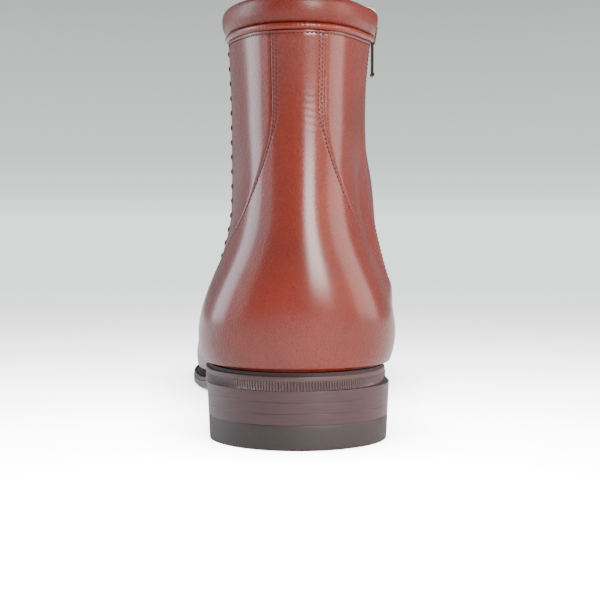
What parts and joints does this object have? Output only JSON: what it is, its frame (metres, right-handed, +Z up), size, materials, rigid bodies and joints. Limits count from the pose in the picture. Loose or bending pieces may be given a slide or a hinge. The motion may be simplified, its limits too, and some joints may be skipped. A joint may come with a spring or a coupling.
{
  "type": "ankle boot",
  "caption": "Left leather ankle boot with a padded collar, side zip, shaped heel panel and stacked heel.",
  "frame": {"origin": "centre of the heel's ground face", "axes": "+Y towards the toe, +X towards the inner (zip) side of the foot, +Z up"},
  "size_m": [0.0967, 0.3009, 0.1693],
  "materials": {
    "calf": "polished rust brown calf",
    "calf_dark": "dark burnished edge",
    "foam": "polyurethane foam",
    "fibreboard": "pressed leather board",
    "felt": "interlining felt",
    "lining": "natural undyed calf lining",
    "zip_metal": "antique brass",
    "zip_tape": "woven dark brown tape",
    "thread": "waxed thread",
    "heel_rubber": "moulded rubber",
    "stack_leather": "stacked, stained and waxed",
    "nail": "brass",
    "sole_leather": "oak bark sole leather",
    "welt_leather": "stained welt",
    "cork": "cork",
    "shank_steel": "spring steel",
    "insole_leather": "natural"
  },
  "bodies": {
    "boot": {"counter_panel": "calf", "quarter_lateral": "calf", "quarter_medial": "calf", "vamp": "calf", "collar_cover": "calf", "piping": "calf_dark", "collar_foam": "foam", "heel_stiffener": "fibreboard", "front_interlining": "felt", "back_interlining": "felt", "toe_puff": "fibreboard", "lining_vamp": "lining", "lining_quarters": "lining", "zip_teeth_front": "zip_metal", "zip_teeth_rear": "zip_metal", "zip_tape_front": "zip_tape", "zip_tape_rear": "zip_tape", "zip_guard": "lining", "zip_bottom_stop": "zip_metal", "zip_top_stops": "zip_metal", "side_seam_thread": "thread", "heel_top_lift": "heel_rubber", "heel_lift_1": "stack_leather", "heel_lift_2": "stack_leather", "heel_lift_3": "stack_leather", "heel_nails": "nail", "outsole": "sole_leather", "heel_rand": "welt_leather", "heel_seat_filler": "cork", "welt": "welt_leather", "cork_filler": "cork", "shank": "shank_steel", "lasting_margin": "calf_dark", "insole": "insole_leather", "sock_lining": "lining"},
    "slider": {"zip_slider": "zip_metal"},
    "pull": {"zip_pull": "zip_metal"}
  },
  "joints": [
    {"name": "zip_run", "type": "hinge", "parent": "boot", "child": "slider", "pos_m": [0.2249, 0.014, 0.118], "axis": [0, -1, 0], "range_deg": [0, 24], "deforming": ["zip_teeth_front", "zip_teeth_rear"]},
    {"name": "pull_swing", "type": "hinge", "parent": "slider", "child": "pull", "pos_m": [0.02791, 0.014, 0.14921], "axis": [0, -1, 0], "range_deg": [0, 150]}
  ]
}
